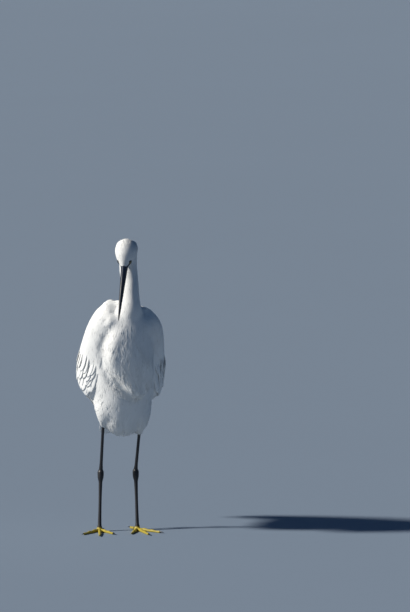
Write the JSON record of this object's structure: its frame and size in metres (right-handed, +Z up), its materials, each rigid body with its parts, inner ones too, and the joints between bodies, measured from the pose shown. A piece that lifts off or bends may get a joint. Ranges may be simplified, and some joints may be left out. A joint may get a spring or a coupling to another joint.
{
  "type": "little egret",
  "caption": "Little egret, a small white heron, life size: standing on both feet, neck drawn up, head bowed with the dagger bill pointing down, wings loosely folded.",
  "frame": {"origin": "on the ground under the middle of the whole bird", "axes": "+Z up, -Y the way the bird faces, +X to the bird's own left"},
  "size_m": [0.1594, 0.2634, 0.511],
  "materials": {
    "plumage": "soft white feathers",
    "bill": "black horn",
    "claw": "black horn",
    "leg_skin": "scaly black skin",
    "toe_skin": "scaly yellow skin",
    "eye": "wet, pale yellow iris"
  },
  "bodies": {
    "root": {"torso": "plumage", "neck_lower": "plumage", "neck_middle": "plumage", "neck_upper": "plumage", "head": "plumage", "bill_upper": "bill", "bill_lower": "bill", "tail": "plumage", "eye_right": "eye", "wing_right": "plumage", "thigh_right": "plumage", "shank_right": "leg_skin", "tarsus_right": "leg_skin", "foot_right": "toe_skin", "claw_right_inner": "claw", "claw_right_middle": "claw", "claw_right_outer": "claw", "claw_right_hind": "claw", "eye_left": "eye", "wing_left": "plumage", "thigh_left": "plumage", "shank_left": "leg_skin", "tarsus_left": "leg_skin", "foot_left": "toe_skin", "claw_left_inner": "claw", "claw_left_middle": "claw", "claw_left_outer": "claw", "claw_left_hind": "claw"}
  },
  "joints": []
}
